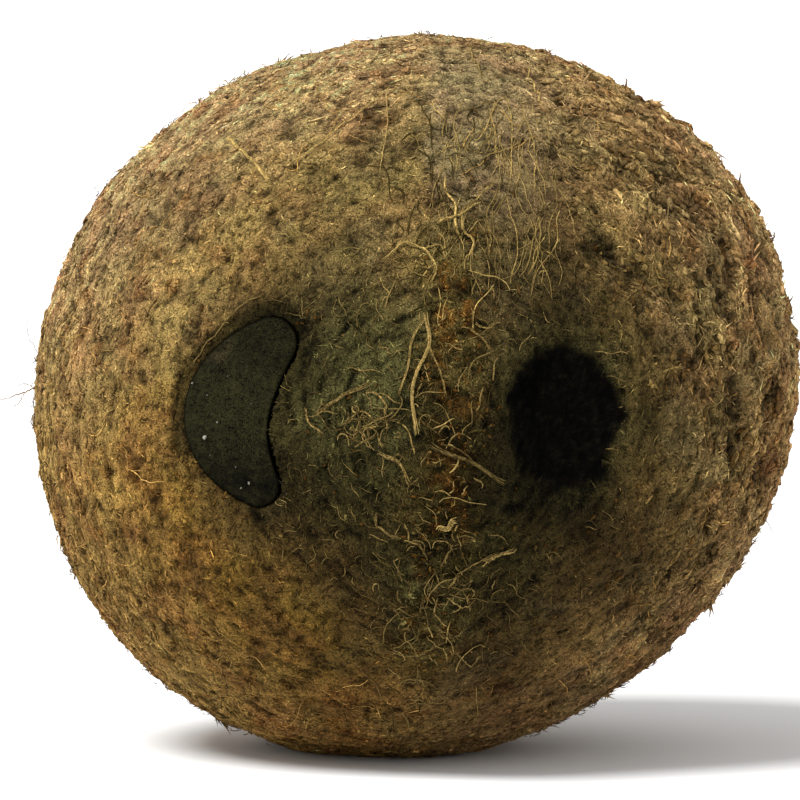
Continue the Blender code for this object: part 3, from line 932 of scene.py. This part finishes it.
# %% Crumbs of pith
draws = np.random.default_rng(29)
crumbly = 0.25 + 0.35 * shell_zones["coarse"] + 0.35 * shell_zones["outer"] * crowded
clotted = np.maximum(shell_zones["ridge"], shell_zones["matted"])
crumbly = (np.maximum(crumbly, 1.1 * clotted) * (1 - 0.45 * shell_zones["bare"] * (1 - clotted))
           * (1 - 0.9 * shell_zones["band"]))
crumbly *= ((0.35 + 0.65 * crowded) * (1 - shell_zones["pit"]) * (1 - shell_zones["kidney"])
            * smooth_step(0, 0.002, shell_points[:, 2]))
crumbly *= smooth_step(-0.5, 0.5, rough(shell_points, 0.005, 77))
spots, ups = seed_hairs(1e6 * crumbly, draws)
zone = zones(spots)
count = len(spots)
_, flat_ways = lying(ups, pi / 2 + 0.8 * draws.normal(size=count), np.zeros(count))
size = (0.6 + 0.35 * draws.random(count) + 0.9 * zone["coarse"] * draws.random(count) ** 2
        - 0.25 * np.maximum(zone["ridge"], zone["bare"]))
widths = 0.001 * size * 0.75
lengths = widths * (1.1 + 1.6 * draws.random(count))
heights = 0.001 * (0.16 + 0.16 * draws.random(count) + 0.30 * zone["coarse"] * draws.random(count))
tone = 0.85 * np.exp((0.22 + 0.40 * zone["bare"]) * draws.normal(size=count))
rusty = (0.35 + 0.35 * zone["ridge"]) * (draws.random(count) < 0.25)
paint = mixed(coat_paint(spots, zone) * tone[:, None], AMBER, rusty)
label_of = (spots[:, 0] > 0.035) * 1 + (spots[:, 1] > -0.01) * 2
for number, label in enumerate(("front_left", "front_right", "back_left", "back_right")):
    own = np.flatnonzero(label_of == number)
    crumb_piece("pith_crumbs_" + label, spots[own], ups[own], flat_ways[own], lengths[own],
                widths[own], heights[own], paint[own], draws)

# %% [markdown]
# ## Specks on the plug
#
# A few pale grains of dried pith are stuck to the plug. They are few and easy to tell apart, so each is
# placed one by one, as the same crumb, only smaller and flatter.

# %% Pale specks on the plug
SPECKS = np.array([  # x, height over the nut's middle and size, in millimetres
    (-32.8, 5.9, 0.30), (-29.1, 0.3, 0.35), (-30.9, -2.0, 0.80), (-25.6, -9.3, 0.35),
    (-24.4, -8.5, 0.45), (-30.6, 4.2, 0.20), (-26.4, -6.2, 0.20), (-27.6, 7.1, 0.18),
    (-24.1, 3.2, 0.18), (-30.2, -4.6, 0.16)]) / 1000
draws = np.random.default_rng(30)
spots = on_eye_end(SPECKS[:, 0], SPECKS[:, 1])
spots[:, 1] -= 0.0004
ups = unit((spots - middle) / half_sizes**2)
_, flat_ways = lying(ups, np.full(len(SPECKS), 1.1), np.zeros(len(SPECKS)))
crumb_piece("plug_specks", spots, ups, flat_ways, SPECKS[:, 2], SPECKS[:, 2] * 0.7,
            SPECKS[:, 2] * 0.5, np.tile(SPECK_PALE, (len(SPECKS), 1)), draws)

# %% [markdown]
# ## Flakes
#
# Thinner bits of pith curl off the ridge like bark. Each is a short, wide hair that stands at up
# to 45 degrees and curls back to the shell, so it needs no shape of its own.

# %% Flakes of pith
draws = np.random.default_rng(31)
flaky = (1.1 * shell_zones["ridge"] + 0.04 * (1 - shell_zones["bare"]) * (1 - shell_zones["band"])
         + 0.12 * shell_zones["coarse"])
spots, ups = seed_hairs(1e6 * flaky * (1 - shell_zones["pit"]) * (1 - shell_zones["kidney"]), draws)
count = len(spots)
lift = np.radians(5 + 40 * draws.random(count) ** 2)
ways, flat_ways = lying(ups, 2 * pi * draws.random(count), lift)
bends = (-ups * (0.8 * np.sin(lift))[:, None]
         + np.cross(ups, flat_ways) * (0.5 * draws.normal(size=count))[:, None])
lengths = 0.001 * (0.35 + 0.8 * draws.random(count) ** 2)
widths = 0.001 * (0.22 + 0.30 * draws.random(count) ** 2)
tint = np.where(draws.random(count)[:, None] < 0.25, AMBER * 0.8, PITH)
paint = 0.75 * (0.5 * coat_paint(spots, zones(spots)) + 0.5 * tint)
paint *= np.exp(0.60 * draws.normal(size=count))[:, None]
hair_piece("pith_flakes", spots - ups * 0.0001, ups, ways, bends, lengths, widths, paint, hair_finish,
           (0.9, 1.2, 0.8), (0.5, 0.9, 1.0, 1.1))

# %% [markdown]
# ## Loose strands
#
# The longest fibres lie loose over the felt, pale because they are clean. They are too long for
# three-sided hairs, so a strand is a flattened tube with five sides and a point at both ends. It
# is laid on the shell by its x and height, and lifted clear of the crumbs.

# %% A strand is a flattened tube along a smooth line
STRAND_SIDES = 5
PALE = np.array([0.33, 0.225, 0.072])


def smooth_path(corners, count):
    """count spots on the curve that passes through every corner and, at each, runs parallel to the
    line between that corner's two neighbours."""
    corners = np.asarray(corners, float)
    held = np.concatenate([[2 * corners[0] - corners[1]], corners, [2 * corners[-1] - corners[-2]]])
    at = np.linspace(0, len(corners) - 1 - 1e-9, count)
    k = at.astype(int)
    t = (at - k)[:, None]
    a, b, c, d = (held[k + i] for i in range(4))
    return 0.5 * (2 * b + (c - a) * t + (2 * a - 5 * b + 4 * c - d) * t**2
                  + (3 * b - a - 3 * c + d) * t**3)


def strand_piece(name, lines, ups, widths, paint, flatness=0.6):
    """Tubes round lines of m spots each: ellipses w wide and flatness times w thick, and a point at
    both ends. lines is (n, m, 3), and widths is (n, m)."""
    count, spots = lines.shape[:2]
    along = unit(np.gradient(lines, axis=1))
    left = unit(np.cross(along, ups))
    over = np.cross(left, along)
    turn = 2 * pi * np.arange(STRAND_SIDES) / STRAND_SIDES
    rim = left[:, :, None] * np.cos(turn)[:, None] + flatness * over[:, :, None] * np.sin(turn)[:, None]
    rim = lines[:, :, None] + rim * widths[:, :, None, None] / 2
    each = spots * STRAND_SIDES + 2
    tips = np.stack([lines[:, 0] - along[:, 0] * 0.0002, lines[:, -1] + along[:, -1] * 0.0004], 1)
    points = np.concatenate([rim.reshape(count, -1, 3), tips], 1)
    points[..., 2] = np.maximum(points[..., 2], 0)
    i = np.arange(STRAND_SIDES)
    j = (i + 1) % STRAND_SIDES

    def unrolled(steps, levels):
        """Where a triangle on each side lies when the tube is cut open and laid flat."""
        rows = [np.full(STRAND_SIDES, level) for level in levels]
        return np.stack([[i + step for step in steps], rows], 0).transpose(2, 1, 0)

    one, place = [], []
    for k in range(spots - 1):
        low, high = k * STRAND_SIDES, (k + 1) * STRAND_SIDES
        one += [np.stack([low + i, low + j, high + j], 1), np.stack([low + i, high + j, high + i], 1)]
        place += [unrolled((0, 1, 1), (k, k, k + 1)), unrolled((0, 1, 0), (k, k + 1, k + 1))]
    end = (spots - 1) * STRAND_SIDES
    one += [np.stack([i * 0 + each - 2, j, i], 1), np.stack([end + i, end + j, i * 0 + each - 1], 1)]
    place += [unrolled((0, 1, 0), (0, 0, 0)), unrolled((0, 1, 0), (spots - 1, spots - 1, spots))]
    one, place = np.concatenate(one), np.concatenate(place) / [STRAND_SIDES + 1, spots + 1]
    faces = (one + each * np.arange(count)[:, None, None]).reshape(-1, 3)
    side = ceil(sqrt(count))
    corner = np.stack([np.arange(count) % side, np.arange(count) // side], 1)
    places = (corner[:, None, None] + place) / side
    shades = np.concatenate([np.repeat(paint, STRAND_SIDES, axis=1), paint[:, :1], paint[:, -1:]], 1)
    return coconut_piece(name, points.reshape(-1, 3), faces, strand_finish,
                         places=places, paint=shades.reshape(-1, 3))


def laid(x, z, lift):
    """Spots over the eye end at x and z, raised by lift off the felt and the pith; and the normals."""
    shape = x.shape
    base = on_eye_end(x.ravel(), z.ravel())
    ups = unit((base - middle) / half_sizes**2)
    base += ups * (shell_relief(base, zones(base)) + lift.ravel())[:, None]
    return base.reshape(*shape, 3), ups.reshape(*shape, 3)


# %% [markdown]
# ## Strands one by one
#
# Some strands are what one knows this nut by: the fork over the ridge, the curls round the eyes,
# the long thread down the left. Each is given by a few corners on the eye end. A real fibre is
# a bundle, so every one is made of three finer fibres, close in the middle and frayed at its ends.

# %% The strands that are drawn one by one
BESIDE_RIDGE = [  # width, lift, then corners, all in millimetres
    (0.25, 0.2, (8.0, 54.2), (8.8, 52.4), (9.9, 49.7)),
    (0.16, 0.2, (3.6, 43.8), (7.8, 45.8), (13.3, 46.5)),
    (0.16, 0.2, (2.9, 39.2), (6.6, 40.5), (9.5, 39.7), (13.2, 40.2)),
    (0.55, 0.4, (4.3, 35.8), (5.3, 32.2), (6.5, 28.0)),
    (0.30, 0.5, (6.0, 30.4), (8.7, 32.9), (11.7, 35.3)),
    (0.30, 0.6, (3.1, 29.4), (6.2, 30.7), (9.4, 32.3)),
    (0.45, 0.4, (-4.8, 24.2), (-1.9, 26.6), (1.4, 25.6), (2.8, 23.3), (2.1, 21.2)),
    (0.25, 0.3, (1.0, 25.6), (3.4, 26.4), (4.8, 24.0)),
    (0.28, 0.3, (10.3, 29.8), (10.9, 27.5), (10.6, 25.1)),
    (0.50, 0.5, (1.3, 16.6), (1.8, 12.3), (0.2, 8.0), (-0.6, 4.4), (0.0, -0.3)),
    (0.28, 0.4, (1.8, 12.3), (3.5, 8.4), (4.4, 5.1)),
    (0.35, 0.4, (1.2, 15.8), (-0.6, 12.6), (-1.2, 8.8), (-2.4, 5.2)),
    (0.30, 0.5, (7.9, 14.4), (9.7, 13.0), (10.8, 11.5)),
    (0.26, 0.4, (8.6, 15.2), (10.4, 14.6), (12.0, 15.4)),
    (0.95, 0.4, (3.3, -14.6), (4.4, -14.2), (5.8, -13.3)),
    (0.24, 0.4, (4.7, -23.1), (6.8, -20.9), (9.4, -19.4), (12.0, -18.4)),
    (0.60, 0.5, (9.6, -19.6), (11.8, -18.8), (14.4, -17.8)),
    (0.28, 0.3, (5.8, -33.3), (8.0, -35.8), (9.5, -34.2)),
    (0.28, 0.3, (-4.5, -33.3), (-0.8, -34.1), (2.8, -32.5)),
    (0.40, 0.4, (7.2, 31.0), (7.0, 28.6), (8.4, 26.6), (8.0, 24.4)),
]
AROUND_EYES = [
    (0.50, 0.3, (-14.5, 2.0), (-13.1, 3.2), (-11.2, 4.0), (-10.0, 5.2), (-7.0, 6.5)),
    (0.34, 0.2, (-16.3, 2.7), (-16.0, 1.3), (-15.0, 0.1), (-13.7, -1.0)),
    (0.34, 0.4, (-7.1, 5.2), (-5.1, 4.6), (-4.2, 3.3), (-4.4, 2.0)),
    (0.40, 0.3, (-5.5, -3.5), (-3.2, -4.2), (-2.0, -5.4), (-1.1, -7.8)),
    (0.26, 0.4, (-4.6, -4.0), (-2.2, -5.0), (-1.6, -6.8)),
    (0.36, 0.3, (-5.8, -12.4), (-5.7, -14.3), (-4.5, -15.2), (-2.6, -15.7)),
    (0.20, 0.2, (-10.0, 8.5), (-8.1, 8.6), (-5.1, 8.1)),
    (0.20, 0.2, (-5.2, 11.9), (-4.4, 11.6), (-3.6, 10.9)),
    (0.20, 0.3, (-9.4, 1.4), (-8.2, 2.4), (-6.6, 1.8), (-5.4, 0.4)),
    (0.24, 0.4, (-8.8, -0.6), (-7.0, 0.2), (-5.6, -0.8), (-4.6, -2.4)),
    (0.18, 0.2, (-10.6, 24.1), (-9.2, 25.2), (-7.4, 25.8)),
    (0.20, 0.2, (-3.0, 20.9), (-3.9, 19.2), (-4.5, 17.3)),
    (0.20, 0.2, (-33.2, 8.3), (-31.6, 10.5), (-29.8, 13.0), (-27.5, 15.6), (-25.2, 17.6), (-22.6, 18.9)),
    (0.45, 0.3, (36.2, 7.2), (37.4, 7.8), (38.8, 7.7)),
]
DULL = [
    (0.60, 0.5, (2.1, -2.2), (5.7, -3.7), (9.4, -5.6), (12.7, -7.9)),
    (0.26, 0.7, (3.6, -2.0), (6.4, -2.8), (8.0, -4.6)),
]
IN_FELT = [
    (0.50, 0.2, (-27.9, 40.9), (-24.5, 38.2), (-21.5, 35.2)),
    (0.14, 0.4, (-18.5, 37.3), (-12.6, 41.3), (-3.8, 48.4)),
    (0.14, 0.4, (-5.2, 36.5), (-4.2, 42.8), (-4.2, 47.7)),
    (0.15, 0.4, (-47.1, -11.0), (-48.1, -14.2), (-47.2, -17.7), (-43.2, -23.8)),
    (0.18, 0.3, (13.3, 47.6), (14.3, 41.3), (13.6, 34.3)),
    (0.18, 0.3, (15.6, 46.8), (17.4, 39.8), (17.6, 33.5)),
    (0.18, 0.3, (16.9, 50.8), (18.5, 45.4)),
    (0.18, 0.3, (11.1, 45.5), (12.2, 38.5)),
    (0.14, 0.3, (13.2, 33.0), (14.8, 26.4), (13.8, 21.0)),
    (0.14, 0.3, (17.8, 30.0), (18.0, 25.4), (16.4, 22.2)),
]

drawn = BESIDE_RIDGE + AROUND_EYES + DULL + IN_FELT
print(f"{len(drawn)} strands drawn by hand")

# %% [markdown]
# ## Splitting each strand into fibres
#
# The path through the corners gets a slight wave. Its three fibres lie side by side across it,
# and both ends of each taper. How clean a fibre is depends on where it lies.

# %% Building the drawn strands
draws = np.random.default_rng(37)
SPOTS, FIBRES = 26, 3
BLEACH = ((BESIDE_RIDGE, 1.0), (AROUND_EYES, 0.8), (DULL, 0.4), (IN_FELT, 1.5))
paths = np.array([smooth_path(strand[2:], SPOTS) for strand in drawn]) / 1000
paths += 0.00014 * draws.normal(size=(len(drawn), 1, 2)) * np.sin(np.linspace(0, 9, SPOTS))[None, :, None]
whole_widths = np.array([strand[0] for strand in drawn])[:, None, None] / 1000
along = unit(np.gradient(paths, axis=1))
beside = np.stack([-along[..., 1], along[..., 0]], 2)[:, None]
to_end = np.abs(np.linspace(-1, 1, SPOTS))
splay = (np.linspace(-0.34, 0.34, FIBRES)[None, :, None]
         * (0.6 + 2.2 * to_end**3 * draws.random((len(drawn), FIBRES, 1))))
paths = (paths[:, None] + beside * (splay * whole_widths)[..., None]).reshape(-1, SPOTS, 2)
widths = whole_widths * (0.40 + 0.25 * draws.random((len(drawn), FIBRES, 1))) * (1 - 0.65 * to_end**4)
widths = (widths * (0.85 + 0.3 * draws.random((len(drawn), FIBRES, SPOTS)))).reshape(-1, SPOTS)
lifts = np.repeat([strand[1] for strand in drawn], FIBRES)[:, None] / 1000
lifts = lifts + 0.00010 * draws.normal(size=widths.shape)
lines, ups = laid(paths[..., 0], paths[..., 1], lifts)
bleached = np.repeat([share for group, share in BLEACH for _ in group], FIBRES)[:, None, None]
paint = (PALE * bleached * np.exp(0.30 * draws.normal(size=(len(lines), 1, 1)))
         * (0.55 + 0.5 * draws.random((len(lines), SPOTS, 1))))
strand_piece("drawn_strands", lines, ups, widths, paint)

# %% [markdown]
# ## Strands at random
#
# The other strands are too many to draw. Each starts somewhere in its zone, sets off on a
# heading and keeps turning a little, as a fibre that has dried does.

# %% The strands that wander
draws = np.random.default_rng(41)


def wander(x, z, heading, length, curving, spots):
    """Paths that start at x and z and turn steadily by curving, with a wobble, over their length."""
    s = np.linspace(0, 1, spots)[None]
    turn = heading[:, None] + curving[:, None] * s + 0.3 * np.sin(6 * s + heading[:, None] * 5)
    step = length[:, None] / (spots - 1)
    return x[:, None] + np.cumsum(np.cos(turn) * step, 1), z[:, None] + np.cumsum(np.sin(turn) * step, 1)


def wandering(name, x, z, heading, lengths, curving, width, lift, tint, spots=12):
    """A piece of strands that wander from x and z. Each is at its thickest, about width, halfway
    along, lies about lift off the felt, and has a tint of its own that wavers along it."""
    count = len(x)
    path_x, path_z = wander(x, z, heading, lengths, curving, spots)
    uneven = 0.4 + draws.random((count, 1)) + 0.3 * draws.normal(size=(count, spots))
    lines, ups = laid(path_x, path_z, lift * uneven)
    swell = 0.5 + 0.5 * np.sin(pi * np.linspace(0.15, 0.95, spots))
    widths = width * (0.6 + 0.8 * draws.random((count, 1))) * swell
    paint = (tint * np.exp(0.30 * draws.normal(size=(count, 1, 1)))
             * (0.8 + 0.4 * draws.random((count, spots, 1))))
    strand_piece(name, lines, ups, widths, paint)


# %% [markdown]
# ## Strands on the ridge and in the band
#
# The ridge carries a mat of short bits and a few longer strands, half of them pale and half the
# colour of pith. In the grey band above it, fine strands hang straight down.

# %% The ridge's mat and the band's strands
MATTED, THIN, BAND_STRANDS = 240, 70, 90


def beside_ridge(count, spread):
    """Starts along the ridge's own line, off it by spread times a normal draw."""
    z = draws.uniform(-0.047, 0.044, count)
    return ridge_line(z) + spread * draws.normal(size=count) - 0.001, z


def two_tints(count, first, second):
    """The first tint for about half of the strands and the second for the others."""
    return np.where(draws.random((count, 1, 1)) < 0.5, first, second)


x, z = beside_ridge(MATTED, 0.0036)
wandering("ridge_mat", x, z, pi / 2 + 0.9 * draws.normal(size=MATTED), draws.uniform(0.0008, 0.0036, MATTED),
          1.0 * draws.normal(size=MATTED), 0.00022, 0.0002, two_tints(MATTED, PALE * 0.60, PITH * 0.7), 8)
x, z = beside_ridge(THIN, 0.0044)
wandering("ridge_strands", x, z, pi / 2 + 0.7 * draws.normal(size=THIN), draws.uniform(0.002, 0.008, THIN),
          1.1 * draws.normal(size=THIN), 0.00018, 0.0003, two_tints(THIN, PALE * 0.70, PITH * 0.8))
wandering("band_strands",
          draws.uniform(0.004, 0.022, BAND_STRANDS), draws.uniform(0.026, 0.047, BAND_STRANDS),
          -pi / 2 + 0.25 * draws.normal(size=BAND_STRANDS), draws.uniform(0.003, 0.009, BAND_STRANDS),
          0.5 * draws.normal(size=BAND_STRANDS), 0.00012, 0.00015, PALE * 0.8)

# %% [markdown]
# ## Nests
#
# Beside the plug and low on the ridge, fibres are wound into loose nests: they start round a
# middle, head round it and curl tightly.

# %% The two nests
NEST = 46
NESTS = (("nest_by_plug", (-0.0068, 0.0006), (0.0034, 0.0020)),
         ("nest_low", (0.0030, -0.0275), (0.0042, 0.0046)))
for label, at, size in NESTS:
    x, z = (at[i] + size[i] * draws.normal(size=NEST) for i in (0, 1))
    round_it = np.arctan2(z - at[1], x - at[0]) + pi / 2 + 1.4 * draws.normal(size=NEST)
    wandering(label, x, z, round_it, draws.uniform(0.0012, 0.0050, NEST), 2.2 * draws.normal(size=NEST),
              0.00020, 0.0005, two_tints(NEST, PALE * 0.55, PALE * 0.24))

# %% [markdown]
# ## Strands on the worn skin and in the felt
#
# Short dark bits lie scattered over the worn skin, most of them leaning the same way, but none where the
# plug, the open eye or the darker skin beside it is. Farther out, in the felt, longer golden strands roughly
# follow the rim.

# %% The scattered strands
TRIES = 620
FELT_STRANDS = 150
x, z = draws.uniform((-0.020, -0.036), (0.032, 0.028), (TRIES, 2)).T
over = zones(np.stack([x, np.full(len(x), -LENGTH / 2), z + middle[2]], 1))
clear = np.maximum(over["pit"], over["kidney"]) + 0.6 * over["sooty"] < 0.3
x, z = x[clear], z[clear]
BARE_STRANDS = len(x)
wandering("bare_strands", x, z,
          2.4 + 0.7 * draws.normal(size=BARE_STRANDS), draws.uniform(0.0008, 0.0030, BARE_STRANDS),
          1.2 * draws.normal(size=BARE_STRANDS), 0.00012, 0.00015,
          two_tints(BARE_STRANDS, PALE * 0.50, PALE * 0.20), 8)
angle, out = draws.uniform(0, 2 * pi, FELT_STRANDS), np.sqrt(draws.uniform(0.55, 0.92, FELT_STRANDS))
wandering("felt_strands", out * half_sizes[0] * np.cos(angle), out * half_sizes[2] * np.sin(angle),
          angle + pi / 2 + 0.8 * draws.normal(size=FELT_STRANDS), draws.uniform(0.002, 0.006, FELT_STRANDS),
          1.2 * draws.normal(size=FELT_STRANDS), 0.00013, 0.0002, GOLD)

# %% [markdown]
# ## Fuzz
#
# Fine fuzz stands off the felt and shows against the light, most of it near the nut's rim. It
# grows in little bunches whose hairs set off from about the same spot, each its own way.

# %% Fuzz that stands off the nut
FUZZ = 8
draws = np.random.default_rng(47)
fuzzy = (1 - shell_zones["bare"]) * (0.12 + 1.3 * shell_zones["outer"] * (1 - shell_zones["coarse"])
                                     + 0.4 * shell_zones["coarse"])
fuzz_spots, fuzz_ups = seed_hairs(3.4e4 * fuzzy * smooth_step(0.0, 0.006, shell_points[:, 2]), draws)
own = np.repeat(np.arange(len(fuzz_spots)), FUZZ)
count = len(own)
ups = fuzz_ups[own]
turned = 2 * pi * draws.random(len(fuzz_spots))[own] + 1.1 * draws.normal(size=count)
ways, flat_ways = lying(ups, turned, np.radians(8 + 60 * draws.random(count)))
bends = (np.cross(ups, flat_ways) * (1.1 * draws.normal(size=count))[:, None]
         - ups * (0.7 * draws.random(count))[:, None])
lengths = (0.001 * (0.6 + 1.0 * draws.random(len(fuzz_spots))[own] ** 2)
           * (0.6 + 0.7 * draws.random(count)))
widths = 0.001 * (0.11 + 0.10 * draws.random(count))
spots = fuzz_spots[own] + 0.0003 * draws.normal(size=(count, 3))
paint = coat_paint(spots, zones(spots)) * (0.62 * np.exp(0.3 * draws.normal(size=count)))[:, None]
hair_piece("fuzz", spots - ups * 0.0001, ups, ways, bends, lengths, widths, paint, hair_finish,
           (0.9, 1.0, 0.8), (0.5, 0.8, 0.9, 1.0))

# %% [markdown]
# ## Strays one by one
#
# A few hairs at the rim break the outline, so they are placed one by one, in the nut's middle
# plane, where the outline is.

# %% Strays at the rim, drawn one by one
AT_RIM = [  # width, then x and height over the nut's middle, all in millimetres
    (0.24, (-56.0, 2.6), (-59.5, 1.2), (-63.0, 0.1)),
    (0.14, (-57.6, 1.9), (-59.2, 2.6), (-60.9, 2.1)),
    (0.14, (-59.2, 1.2), (-60.2, -0.4), (-61.4, -1.0)),
    (0.12, (-57.0, 7.0), (-58.6, 9.8), (-58.8, 12.0), (-57.8, 13.6)),
    (0.22, (54.8, 10.2), (57.0, 9.9), (58.6, 9.2)),
    (0.20, (50.2, -15.6), (52.6, -17.2), (54.4, -20.2)),
    (0.50, (31.0, 45.6), (31.7, 47.2), (32.0, 48.8)),
    (0.45, (48.0, 31.6), (49.0, 33.0), (49.2, 34.4)),
    (0.45, (52.8, 23.0), (54.0, 24.2), (54.4, 25.6)),
    (0.16, (39.2, -30.2), (41.0, -31.4), (40.6, -32.8), (39.2, -32.4)),
]
paths = np.array([smooth_path(stray[1:], SPOTS) for stray in AT_RIM]) / 1000
lines = np.stack([paths[..., 0], 0 * paths[..., 0], paths[..., 1] + middle[2]], 2)
lines = lines + 0.00006 * draws.normal(size=(len(AT_RIM), SPOTS, 3))
widths = np.array([stray[0] for stray in AT_RIM])[:, None] / 1000
widths = widths * (1 - 0.6 * np.linspace(0, 1, SPOTS) ** 2)
paint = BROWN * (0.7 + 0.4 * draws.random((len(AT_RIM), SPOTS, 1)))
strand_piece("rim_strays", lines, np.broadcast_to([0.0, -1.0, 0.0], lines.shape), widths, paint)

# %% [markdown]
# ## The floor
#
# The nut lies on a plain pale floor, wide enough that its edge is never seen. It is only part of the setting,
# so it doesn't belong to the nut.

# %% The floor
FLOOR_REACH = 6.0
grid = np.array([[-1, -1, 0], [1, -1, 0], [1, 1, 0], [-1, 1, 0]]) * FLOOR_REACH
floor_finish = bpy.data.materials.new("pale_floor")
floor_finish.use_nodes = True
floor_inputs = floor_finish.node_tree.nodes["Principled BSDF"].inputs
for key, value in (("Base Color", (0.87, 0.87, 0.87, 1)), ("Roughness", 1.0), ("Specular IOR Level", 0.0)):
    floor_inputs[key].default_value = value
floor = new_piece("floor", grid, np.array([[0, 1, 2, 3]]), floor_finish)

# %% [markdown]
# ## The light
#
# One broad soft lamp shines from the upper left, high enough to rake over the ridge, and a pale
# room fills the shadows. The camera sees the room a little brighter than it shines, so that the
# setting stays pale without washing out the coat.

# %% The light
ROOM_LIGHT = 0.75
KEY_LIGHT = 3.9
KEY_SOFTNESS = radians(26)

world = bpy.data.worlds.new("studio")
world.use_nodes = True
background = world.node_tree.nodes["Background"]
background.inputs["Color"].default_value = (1, 1, 1, 1)
seen = node(world.node_tree, "ShaderNodeLightPath")
brightness = remapped(world.node_tree, seen.outputs["Is Camera Ray"], 0, 1, ROOM_LIGHT, 1.0)
joined(world.node_tree, brightness, background.inputs["Strength"])
bpy.context.scene.world = world
bpy.context.scene.view_settings.view_transform = "Standard"


def aim(thing, place, target):
    """Puts a lamp or camera at place with its -Z axis on target and its X axis level."""
    thing.location = place
    thing.rotation_euler = (Vector(target) - Vector(place)).to_track_quat("-Z", "Y").to_euler()


lamp = bpy.data.lights.new("key_light", "SUN")
lamp.energy = KEY_LIGHT
lamp.angle = KEY_SOFTNESS
key_light = bpy.data.objects.new("key_light", lamp)
bpy.context.scene.collection.objects.link(key_light)
aim(key_light, (-0.62, -0.50, 1.25), (0, 0, HEIGHT / 2))

# %% [markdown]
# ## The camera
#
# The eye end is seen nearly straight on, from a long way off, so the nut's outline shows its
# true width and height. The lens is worked out from how wide a stretch it should take in.

# %% The camera
DISTANCE = 1.5
VIEW_RISE = radians(4)
SENSOR = 36.0
SEEN = 0.1213  # the width that the view takes in at the nut
camera = bpy.data.cameras.new("camera")
camera.sensor_width = SENSOR
camera.lens = SENSOR * DISTANCE / SEEN
print(f"the lens is {camera.lens:.0f} mm long")
camera.clip_end = 100.0
viewer = bpy.data.objects.new("camera", camera)
bpy.context.scene.collection.objects.link(viewer)
target = np.array([-0.0023, 0, HEIGHT / 2 - 0.0008])
aim(viewer, tuple(target + DISTANCE * np.array([0, -cos(VIEW_RISE), sin(VIEW_RISE)])), tuple(target))
bpy.context.scene.camera = viewer
